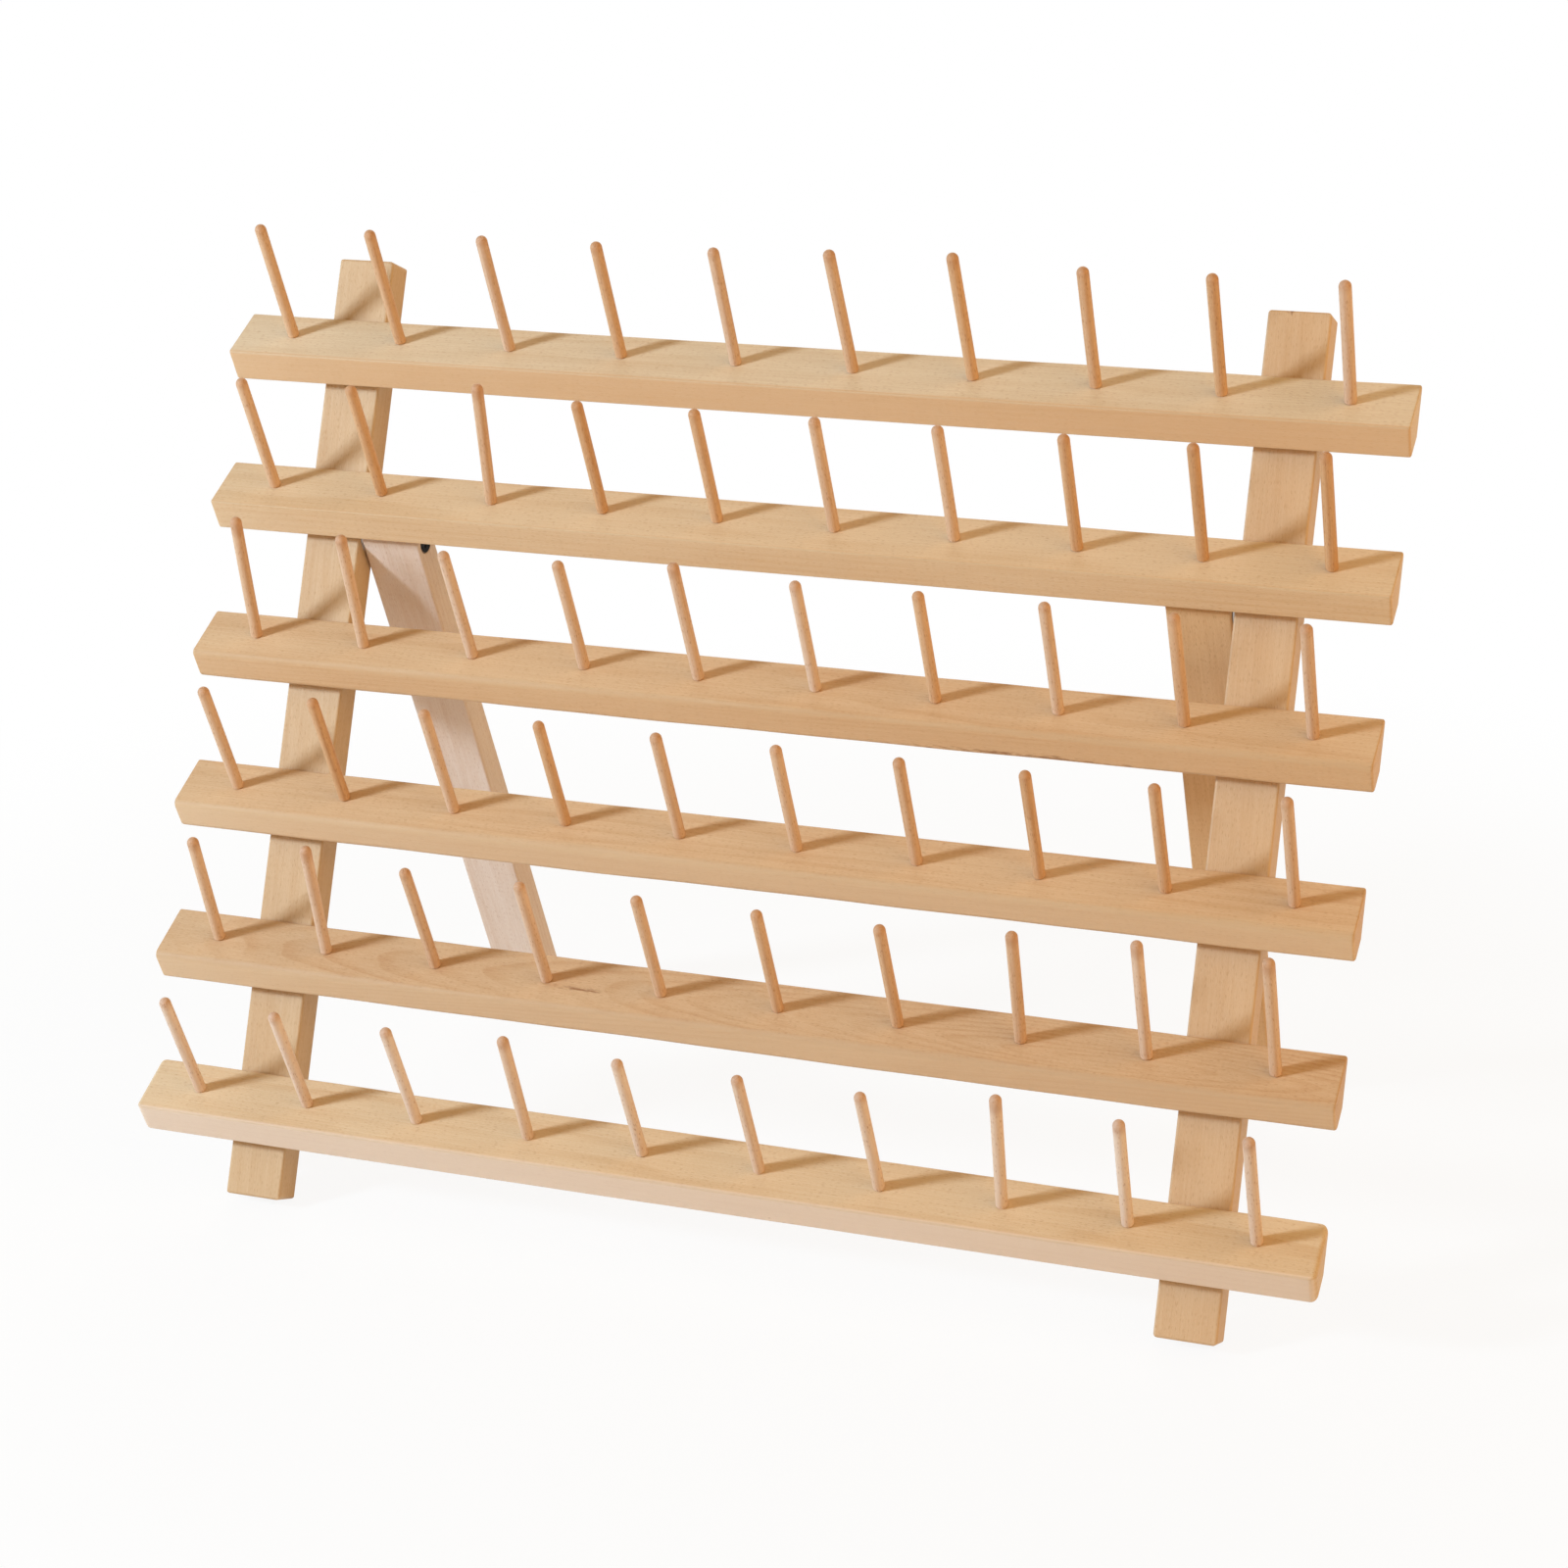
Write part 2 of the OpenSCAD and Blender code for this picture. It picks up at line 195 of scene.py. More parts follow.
def make_shaded_rub_edge():
    """Wear and painted shade along the edges of a strip, from its own place and half sizes in millimetres:
    the middle one of the three distances to its faces, which is small only near an edge, broken up by
    noise. The darker tone laid there stands partly for rubbed wood and partly for shade painted over the
    light that rounded edges catch."""
    inputs = {"Place": "Vector", "Half": "Vector"}
    tree, given, ends = open_group("shaded_rub_edge", inputs, {"Edge": "Float"})
    size = put(tree, "VectorMath", {0: given["Place"]}, operation="ABSOLUTE").outputs[0]
    left = put(tree, "VectorMath", {0: given["Half"], 1: size}, operation="SUBTRACT").outputs[0]
    x, y, z = put(tree, "SeparateXYZ", {"Vector": left}).outputs
    least = reckon(tree, "MINIMUM", x, y)
    most = reckon(tree, "MAXIMUM", x, y)
    middle = reckon(tree, "MAXIMUM", least, reckon(tree, "MINIMUM", most, z))
    noise = noise_at(tree, stretch(tree, given["Place"], 0.08, 0.3, 0.3), 3.0)["Fac"]
    edge = reckon(tree, "MULTIPLY", ramp(tree, middle, 1.5, 0.1), ramp(tree, noise, 0.35, 0.65, 0.25, 1.0))
    close_group(tree, ends, Edge=edge)


def make_end_grain():
    """Darker wood at the sawn ends, from a place along the grain and half the strip's length: a share
    that rises over the last millimetre and is broken up by fine noise."""
    inputs = {"Place": "Vector", "Half_length": "Float"}
    tree, given, ends = open_group("end_grain", inputs, {"Share": "Float"})
    along = reckon(tree, "ABSOLUTE", put(tree, "SeparateXYZ", {"Vector": given["Place"]}).outputs[0])
    left = reckon(tree, "SUBTRACT", given["Half_length"], along)
    noise = noise_at(tree, given["Place"], 3.0, scale=1.4)["Fac"]
    share = reckon(tree, "MULTIPLY", ramp(tree, left, 1.0, 0.1), ramp(tree, noise, 0.3, 0.7, 0.5, 1.0))
    close_group(tree, ends, Share=share)


def make_dark_mark():
    """A dark mark, from a place, the mark's middle and its half sizes in millimetres: the distance from
    the middle counted in half sizes, made uneven by noise, gives a soft-edged share."""
    inputs = {"Place": "Vector", "Spot": "Vector", "Reach": "Vector"}
    tree, given, ends = open_group("dark_mark", inputs, {"Share": "Float"})
    gap = put(tree, "VectorMath", {0: given["Place"], 1: given["Spot"]}, operation="SUBTRACT").outputs[0]
    counted = put(tree, "VectorMath", {0: gap, 1: given["Reach"]}, operation="DIVIDE").outputs[0]
    away = put(tree, "VectorMath", {0: counted}, operation="LENGTH").outputs["Value"]
    noise = noise_at(tree, stretch(tree, given["Place"], 0.25, 1.1, 1.1), 2.0)["Fac"]
    uneven = reckon(tree, "MULTIPLY_ADD", noise, 2.4, away)
    close_group(tree, ends, Share=ramp(tree, uneven, 1.9, 1.1))


def start_material(name):
    """A new material with an empty tree, its Principled shader and its output."""
    made = bpy.data.materials.new(name)
    made.use_nodes = True
    tree = made.node_tree
    tree.nodes.clear()
    shader = put(tree, "BsdfPrincipled")
    put(tree, "OutputMaterial", {"Surface": shader.outputs[0]})
    return made, tree, shader


def darken_ends_and_marks(tree, own, colour, half_length, marks):
    """Lays darker sawn ends over a strip's colour, then its dark marks, each a middle and half sizes."""
    end = use_group(tree, "end_grain", Place=own, Half_length=half_length)["Share"]
    colour = blend_colours(tree, reckon(tree, "MULTIPLY", end, END_SHARE), colour, END_TONE)
    for spot, reach in marks:
        mark = use_group(tree, "dark_mark", Place=own, Spot=spot, Reach=reach)["Share"]
        colour = blend_colours(tree, reckon(tree, "MULTIPLY", mark, MARK_SHARE), colour, MARK_TONE)
    return colour


def finish_wood(tree, shader, grain, colour, relief):
    """Joins bare wood to its shader: colour, uneven gloss, and fine relief of the given depth."""
    bump = put(tree, "Bump", {"Height": grain["Height"], "Strength": relief, "Distance": RELIEF_DEPTH})
    tree.links.new(colour, shader.inputs["Base Color"])
    tree.links.new(grain["Roughness"], shader.inputs["Roughness"])
    tree.links.new(bump.outputs[0], shader.inputs["Normal"])
    shader.inputs["Specular IOR Level"].default_value = WOOD_SHINE


def strip_material(name, turn, middle, half, heart, tilt, tones, rings, marks=()):
    """Bare beech for a straight strip. Its Object coordinates are turned so that the grain runs
    along X, centred on the strip, and made millimetres. The heart gives where the tree's middle
    lies from there, tilt how far the strip was sawn across the grain, and rings the year rings'
    width and strength."""
    made, tree, shader = start_material(name)
    cosine, sine = np.cos(turn), np.sin(turn)
    x, y, z = np.asarray(middle) / MM
    turned = (y * sine + z * cosine, y * cosine - z * sine, -x)
    own = put(tree, "Mapping", {"Vector": put(tree, "TexCoord").outputs["Object"],
                                "Location": [-value for value in turned],
                                "Rotation": (turn, QUARTER_TURN, 0.0), "Scale": (1 / MM,) * 3}).outputs[0]
    place = put(tree, "Mapping", {"Vector": own, "Location": heart, "Rotation": (0.0, *tilt)}).outputs[0]
    pale, dark, fleck, shaded_rub_tone = tones
    ring_width, ring_share = rings
    grain = use_group(tree, "beech_grain", Place=place, Pale=pale, Dark=dark, Fleck=fleck,
                      Ring_width=ring_width, Ring_share=ring_share, Fleck_share=FLECK_SHARE)
    edge = use_group(tree, "shaded_rub_edge", Place=own, Half=half)["Edge"]
    # the edges take a darker tone: partly rubbed wood, partly painted shade over the light they catch
    colour = blend_colours(tree, reckon(tree, "MULTIPLY", edge, STRIP_SHADE_AND_WEAR), grain["Color"], shaded_rub_tone)
    finish_wood(tree, shader, grain, darken_ends_and_marks(tree, own, colour, half[0], marks), STRIP_RELIEF)
    return made


def dress(names, material):
    """Gives CAD nodes their material, in the slots of their objects."""
    for name in names:
        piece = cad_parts[name]
        if not piece.material_slots:
            piece.data.materials.append(material)
        for slot in piece.material_slots:
            slot.material = material


make_beech_grain()
make_shaded_rub_edge()
make_end_grain()
make_dark_mark()
END_TONE = paint(184, 134, 86)
MARK_TONE = paint(134, 78, 36)
# side, -1 for the left: pale and dark wood, ray flecks, and edges darkened by rubbing and painted shade
UPRIGHT_TONES = {-1: (paint(212, 180, 140), paint(198, 157, 112), paint(181, 137, 94), paint(201, 166, 127)),
                 1: (paint(218, 184, 145), paint(204, 162, 118), paint(190, 144, 101), paint(206, 172, 132))}
# side: middle and half sizes of each dark mark, from the middle of the strip
UPRIGHT_MARKS = {-1: [], 1: [((159.6, -5.4, 2.4), (1.7, 1.7, 2.2))]}
UPRIGHT_HEARTS = {-1: (40.0, 34.0, 9.0), 1: (610.0, -27.0, 14.0)}
UPRIGHT_HALF = (UPRIGHT_LEN / 2, UPRIGHT_T / 2, UPRIGHT_W / 2)
for side, name in ((-1, "left_upright"), (1, "right_upright")):
    upright_middle = stand(side * UPRIGHT_X, UPRIGHT_T / 2, UPRIGHT_LEN / 2)
    upright_tilt = (UPRIGHT_TILT[0], UPRIGHT_TILT[1] * side)
    upright_beech = strip_material(name + "_beech", LEAN, upright_middle, UPRIGHT_HALF, UPRIGHT_HEARTS[side],
                                   upright_tilt, UPRIGHT_TONES[side], UPRIGHT_RINGS, UPRIGHT_MARKS[side])
    dress([name], upright_beech)

# Rails
# Six beech strips, planed to a slope at the back so that they lie on the uprights with their top
# faces turned up and forward. Some have crisp front edges and some were sanded round, the lowest
# at its ends too.
RAIL_LEN = 400.0
RAIL_W = 22.5
RAIL_T = 11.5
RAIL_TILT = np.radians(48.0)
RAIL_PITCH = 51.4
UPRIGHT_ABOVE = 20.0
FIRST_RAIL = UPRIGHT_LEN - UPRIGHT_ABOVE
RAIL_EDGE = 0.55
# rounding of the lower front edge and across the thickness of the ends, as shares of the given ones
LOWER_SHARE = 0.9
THICK_SHARE = 0.6
# unevenness of the rounded edges along a rail
WAVER_LEN = 260.0
WAVER_SHARE = 0.3
RAIL_SEED = 40
WAVE_SPLITS = np.array([1.0, 2.3, 5.1])
WAVE_SHARES = np.array([0.5, 0.3, 0.2])
# the front's painted light and shade begins this far behind the front face, and is full from there on
FRONT_FROM = 1.5
FRONT_FULL = 0.3
# how strongly the rails' edges darken, by rubbing and by painted shade over the light they catch
RAIL_SHADE_AND_WEAR = 0.6
END_RINGS = 12
MIDDLE_RINGS = 120
ARC_POINTS = 7
SIDE_SHARES = np.array([0.02, 0.08, 0.36, 0.64, 0.92, 0.98])
CREASE = np.radians(50)


def on_rail(row, x, in_from_back, below_top):
    """A place on a rail in the shared frame: along it, forward from its back edge over the top face,
    and down from that face, all in millimetres. The top face is tilted about the back edge."""
    cosine, sine = np.cos(RAIL_TILT), np.sin(RAIL_TILT)
    y = -in_from_back * cosine + below_top * sine
    z = FIRST_RAIL - (row - 1) * RAIL_PITCH - in_from_back * sine - below_top * cosine
    return stand(x, y, z)


def wave(along, seed, length):
    """A gentle unevenness between -1 and 1 along a piece: three sines of seeded phase, the longest
    of the given wavelength."""
    phases = np.random.default_rng(seed).uniform(0, 2 * np.pi, len(WAVE_SPLITS))
    turns = 2 * np.pi * along[..., None] / (length / WAVE_SPLITS)
    return (np.sin(turns + phases) * WAVE_SHARES).sum(-1)


def skin(name, tubes, ends):
    """A closed mesh from a stack of tubes, an array of tube, ring, point and axis. Neighbouring rings
    are joined by quads, round and along, and each end of a tube by triangles to one middle point."""
    count, rings, sides = tubes.shape[:3]
    first = np.arange(count)[:, None, None] * (rings * sides + 2)
    ring = np.arange(rings - 1)[None, :, None] * sides
    point = np.arange(sides)[None, None, :]
    after = (point + 1) % sides
    quads = np.stack(np.broadcast_arrays(first + ring + point, first + ring + after,
                                         first + ring + sides + after, first + ring + sides + point), -1)
    first, point, after = first[:, 0], point[0], after[0]
    last = first + (rings - 1) * sides
    low = np.stack(np.broadcast_arrays(first + rings * sides, first + after, first + point), -1)
    high = np.stack(np.broadcast_arrays(first + rings * sides + 1, last + point, last + after), -1)
    places = np.concatenate([tubes.reshape(count, -1, 3), ends], axis=1).reshape(-1, 3)
    mesh = bpy.data.meshes.new(name)
    faces = quads.reshape(-1, 4).tolist() + low.reshape(-1, 3).tolist() + high.reshape(-1, 3).tolist()
    mesh.from_pydata(places.tolist(), [], faces)
    mesh.shade_smooth()
    mesh.set_sharp_from_angle(angle=CREASE)
    piece = bpy.data.objects.new(name, mesh)
    bpy.context.scene.collection.objects.link(piece)
    return piece


def note(piece, name, kind, values):
    """Keeps a value for every point of a piece, which its material reads by name."""
    layer = piece.data.attributes.new(name, kind, "POINT")
    field = "vector" if kind == "FLOAT_VECTOR" else "value"
    layer.data.foreach_set(field, values.astype(np.float32).ravel())


def rail_piece(name, row, front_round, end_round):
    """A rail as a rounded four-sided section carried along X. At each corner an arc turns from one
    side's square to the next, of a radius that wavers along the rail, and straight sides join the
    arcs. Towards the ends the section draws in as the rounded corners of the strip do."""
    turn = np.linspace(0, np.pi / 2, END_RINGS)
    inset = end_round * (1 - np.cos(turn))
    half = RAIL_LEN / 2
    middle = np.linspace(end_round - half, half - end_round, MIDDLE_RINGS + 2)[1:-1]
    along = np.concatenate([inset - half, middle, half - inset[::-1]])
    slope = RAIL_T * np.tan(RAIL_TILT)
    corners = np.array([[0, 0], [RAIL_W, 0], [RAIL_W, RAIL_T], [slope, RAIL_T]])
    sides = np.roll(corners, -1, axis=0) - corners
    squares = np.stack([sides[:, 1], -sides[:, 0]], -1) / np.linalg.norm(sides, axis=1)[:, None]
    before = np.roll(squares, 1, axis=0)
    soft = np.array([RAIL_EDGE, front_round, LOWER_SHARE * front_round, RAIL_EDGE])
    seeds = RAIL_SEED * row + np.arange(len(corners))
    uneven = np.stack([wave(along, seed, WAVER_LEN) for seed in seeds], -1)
    radius = np.maximum(RAIL_EDGE, soft * (1 + WAVER_SHARE * uneven))
    bisector = (before + squares) / 2
    middles = corners - radius[..., None] * (bisector / (bisector**2).sum(-1, keepdims=True))
    start = np.arctan2(before[:, 1], before[:, 0])
    sweep = (np.arctan2(squares[:, 1], squares[:, 0]) - start + np.pi) % (2 * np.pi) - np.pi
    angle = start[:, None] + sweep[:, None] * np.linspace(0, 1, ARC_POINTS)
    spoke = np.stack([np.cos(angle), np.sin(angle)], -1)
    arcs = middles[:, :, None] + radius[:, :, None, None] * spoke
    reach = np.roll(arcs[:, :, 0], -1, axis=1) - arcs[:, :, -1]
    flats = arcs[:, :, -1:] + reach[:, :, None] * SIDE_SHARES[:, None]
    section = np.concatenate([arcs, flats], axis=2).reshape(len(along), -1, 2)
    left = half - np.abs(along)
    shrink = [size - np.sqrt(np.maximum(size**2 - np.maximum(size - left, 0) ** 2, 0))
              for size in (end_round, THICK_SHARE * end_round)]
    scale = 1 - 2 * np.stack(shrink, -1) / np.array([RAIL_W, RAIL_T])
    core = np.array([RAIL_W / 2, RAIL_T / 2])
    section = core + (section - core) * scale[:, None]
    tube = on_rail(row, along[:, None], section[..., 0], section[..., 1])
    piece = skin(name, tube[None], tube[[0, -1]].mean(1)[None])
    # the section's arcs take the edges' darker tone, partly rubbing and partly painted shade
    rub_and_shade_profile = np.concatenate([np.sin(np.linspace(0, np.pi, ARC_POINTS)), np.zeros(len(SIDE_SHARES))])
    rub_and_shade_field = np.tile(rub_and_shade_profile, (len(along), len(corners)))
    note(piece, "edge_shade_and_rub", "FLOAT", np.append(rub_and_shade_field.ravel(), [0, 0]))
    return piece


def rail_material(row, heart, tilt, tones, ring_width, ring_share, front, front_shading_share):
    """Bare beech for a rail: Object coordinates turned level with its top face and made millimetres,
    from the middle of its back edge. Wear and painted shade follow the rail's own edges, and the front
    face is painted in a tone of its own for the light and shade that fall on it."""
    made, tree, shader = start_material(f"rail_{row}_beech")
    level = RAIL_TILT - LEAN
    x, y, z = on_rail(row, 0.0, 0.0, 0.0) / MM
    turned = (x, y * np.cos(level) + z * np.sin(level), z * np.cos(level) - y * np.sin(level))
    own = put(tree, "Mapping", {"Vector": put(tree, "TexCoord").outputs["Object"],
                                "Location": [-value for value in turned],
                                "Rotation": (-level, 0.0, 0.0), "Scale": (1 / MM,) * 3}).outputs[0]
    place = put(tree, "Mapping", {"Vector": own, "Location": heart, "Rotation": (0.0, *tilt)}).outputs[0]
    pale, dark, fleck, shaded_rub_tone = tones
    grain = use_group(tree, "beech_grain", Place=place, Pale=pale, Dark=dark, Fleck=fleck,
                      Ring_width=ring_width, Ring_share=ring_share, Fleck_share=FLECK_SHARE)
    # painted light and shade on the front face: a tone of its own, warmer and darker on the upper rails,
    # paler on the lower ones
    forward = put(tree, "SeparateXYZ", {"Vector": own}).outputs[1]
    front_shading_mask = ramp(tree, forward, FRONT_FROM - RAIL_W, FRONT_FULL - RAIL_W, 0.0, front_shading_share)
    wood = blend_colours(tree, front_shading_mask, grain["Color"], front)
    edge = put(tree, "Attribute", attribute_name="edge_shade_and_rub").outputs["Fac"]
    # the edges darken, partly rubbed wood and partly painted shade over the light they catch
    colour = blend_colours(tree, reckon(tree, "MULTIPLY", edge, RAIL_SHADE_AND_WEAR), wood, shaded_rub_tone)
    darkened_colour = darken_ends_and_marks(tree, own, colour, RAIL_LEN / 2, RAIL_MARKS.get(row, ()))
    finish_wood(tree, shader, grain, darkened_colour, STRIP_RELIEF)
    return made


# pale and dark wood, ray flecks, and edges darkened by rubbing and painted shade
# painted light: the top rail is made paler for the light from above that reaches it, which the rails above
# block for the others
LIT_CREAM_RAIL = (paint(229, 206, 173), paint(211, 177, 136), paint(189, 146, 105), paint(205, 176, 140))
PALE_RAIL = (paint(228, 201, 164), paint(210, 172, 128), paint(188, 142, 99), paint(204, 172, 133))
DEEP_RAIL = (paint(217, 184, 145), paint(199, 155, 113), paint(179, 128, 86), paint(193, 156, 117))
WARM_RAIL = (paint(223, 190, 150), paint(205, 161, 117), paint(184, 133, 89), paint(198, 162, 121))
# painted light and shade for the rails' front faces: orange where a front is darker, pale and pink where it
# is lit from below
ORANGE_FRONT_SHADING = paint(219, 173, 125)
PALE_FRONT_SHADING = paint(230, 197, 159)
PINK_FRONT_SHADING = paint(237, 213, 193)
# row: middle and half sizes of each dark mark, from the middle of the back edge; the marks on rails 3
# and 6 darken the lower front edge
RAIL_MARKS = {3: [((90.0, -RAIL_W, -9.7), (56.0, 1.8, 1.5))],
              5: [((-48.0, -14.0, 0.0), (17.0, 1.4, 1.0))],
              6: [((25.3, -RAIL_W, -9.6), (1.6, 1.0, 0.9))]}
# row: front edge and end rounding, heart of the tree from the back edge, saw tilt, tones, ring width
# and share, painted light and shade of the front face and its share
RAIL_STOCK = {
    1: (0.6, 0.9, (0.0, 30.0, 42.0), (0.008, 0.0), LIT_CREAM_RAIL, 2.4, 0.25, ORANGE_FRONT_SHADING, 0.7),
    2: (0.6, 0.9, (900.0, 26.0, -60.0), (0.0, 0.01), PALE_RAIL, 2.8, 0.25, ORANGE_FRONT_SHADING, 0.3),
    3: (2.0, 0.9, (1700.0, 8.0, 30.0), (0.012, 0.02), WARM_RAIL, 1.8, 0.3, ORANGE_FRONT_SHADING, 0.4),
    4: (2.3, 0.9, (2600.0, -20.0, 38.0), (0.01, 0.0), WARM_RAIL, 2.6, 0.25, PALE_FRONT_SHADING, 0.6),
    5: (2.1, 0.9, (3300.0, 11.0, 9.0), (0.085, 0.015), DEEP_RAIL, 1.5, 0.4, PALE_FRONT_SHADING, 0.6),
    6: (0.7, 2.6, (4100.0, 22.0, 50.0), (0.0, 0.012), PALE_RAIL, 2.5, 0.3, PINK_FRONT_SHADING, 0.75),
}
for row, (front_round, end_round, *stock) in RAIL_STOCK.items():
    rail = rail_piece(f"beech_rail_{row}", row, front_round, end_round)
    rail.data.materials.append(rail_material(row, *stock))
    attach(rail, "rack")
    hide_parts(f"rail_{row}")

# Rail screws
# Twelve countersunk steel screws, zinc plated, driven through the uprights from behind into the
# rails. Only their cross-slotted heads show, level with the wood.
METAL_RELIEF = 0.15
METAL_DEPTH = 0.05 * MM


def make_plated_metal():
    """A plated or blackened metal skin in millimetres: a slow cloud of tone and fine scratches drawn out
    one way, giving a colour between two tones, a roughness above the least one, and a height."""
    inputs = {"Place": "Vector", "Bright": "Color", "Dull": "Color", "Least_rough": "Float"}
    tree, given, ends = open_group("plated_metal", inputs,
                                   {"Color": "Color", "Roughness": "Float", "Height": "Float"})
    cloud = noise_at(tree, given["Place"], 3.0, scale=0.35)["Fac"]
    scratch = noise_at(tree, stretch(tree, given["Place"], 12.0, 1.2, 12.0), 2.0)["Fac"]
    clouding = ramp(tree, cloud, 0.35, 0.65, 0.0, 0.7)
    tone = reckon(tree, "ADD", clouding, ramp(tree, scratch, 0.5, 0.8, 0.0, 0.4), clamp=True)
    colour = blend_colours(tree, tone, given["Bright"], given["Dull"])
    scratched = reckon(tree, "MULTIPLY_ADD", scratch, 0.2, given["Least_rough"])
    roughness = reckon(tree, "MULTIPLY_ADD", cloud, 0.3, scratched)
    close_group(tree, ends, Color=colour, Roughness=roughness, Height=scratch)


def metal_material(name, bright, dull, metallic, least_rough, shine):
    """Metal on its Object coordinates in millimetres, with the plated skin's colour, gloss and relief."""
    made, tree, shader = start_material(name)
    place = put(tree, "Mapping", {"Vector": put(tree, "TexCoord").outputs["Object"],
                                  "Scale": (1 / MM,) * 3}).outputs[0]
    plating = use_group(tree, "plated_metal", Place=place, Bright=bright, Dull=dull, Least_rough=least_rough)
    bump = put(tree, "Bump", {"Height": plating["Height"], "Strength": METAL_RELIEF, "Distance": METAL_DEPTH})
    tree.links.new(plating["Color"], shader.inputs["Base Color"])
    tree.links.new(plating["Roughness"], shader.inputs["Roughness"])
    tree.links.new(bump.outputs[0], shader.inputs["Normal"])
    shader.inputs["Metallic"].default_value = metallic
    shader.inputs["Specular IOR Level"].default_value = shine
    return made


make_plated_metal()
ZINC = metal_material("zinc_plate", paint(204, 206, 205), paint(186, 189, 190),
                      metallic=1.0, least_rough=0.2, shine=0.5)
dress(["left_rail_screws", "right_rail_screws"], ZINC)

# Pegs
# Sixty thin beech dowels with rounded tips, ten in each rail, glued by a thinner foot into holes
# square to the top face. They vary in colour, and some stand a little proud or out of line.
PEG_R = 2.0
PEG_FOOT_R = 1.5
PEG_LEN = 45.0
PEG_DEPTH = 6.5
PEG_NECK = 0.3
PEG_PITCH = 40.0
PEG_BACK = 11.5
PEGS = 10
PEG_SIDES = 28
SHAFT_RINGS = 16
DOME_RINGS = 8
SHAFT_FROM = 0.4
SHAFT_TO = 42.6
# the shoulder's broken edge, and how far the surface keeps inside the dowel's full size
SHOULDER_RISE = 0.05
SHOULDER_IN = 0.08
SHAFT_IN = 0.03
TIP_IN = 0.005
# unevenness: how far out of round, the most bow and the least share of it
UNROUND = 0.012
MOST_BOW = 0.08
LEAST_BOW_SHARE = 0.2
PEG_SEED = 700
# how far apart in the tree the pegs were cut, along the grain and across it
GRAIN_SPREAD = np.array([4000.0, 30.0, 30.0])
PEG_RINGS = (1.9, 0.35)
PEG_FLECKS = 0.6
PEG_RELIEF = 0.4
TIP_FROM = 0.9
TIP_SHARE = 0.45
PINK_PEG = (paint(233, 208, 185), paint(219, 183, 154))
BROWN_PEG = (paint(221, 176, 131), paint(191, 138, 89))
PEG_FLECK = paint(170, 112, 72)
PEG_TIP = paint(184, 126, 84)
# row: tones of its pegs, from 0, pale and pinkish, to 1, brown
PEG_TONES = {1: (0.4, 1.0), 2: (0.6, 1.1), 3: (0.3, 0.9), 4: (0.4, 1.0), 5: (0.3, 0.9), 6: (0.0, 0.35)}
# row: peg number, lean to the right and to the back in degrees, share of its depth it stands proud
ODD_PEGS = {
    1: [(6, -2, 1, 0.15), (7, -2, 2, 0.25)],
    2: [(3, 6, 3, 0.4)],
    3: [(1, 5, 5, 0.6), (2, 4, 2, 0.3), (5, -1, 2, 0.3)],
    4: [],
    5: [(1, 4, 1.5, 0.25), (2, 5, 3, 0.4), (8, 2, 2.5, 0.3), (9, 0, 4, 0.45), (10, 0, 3, 0.45)],
    6: [(4, 1, 2, 0.25), (8, 3, 4, 0.55), (9, 1, 2, 0.25), (10, 0, 2, 0.25)],
}


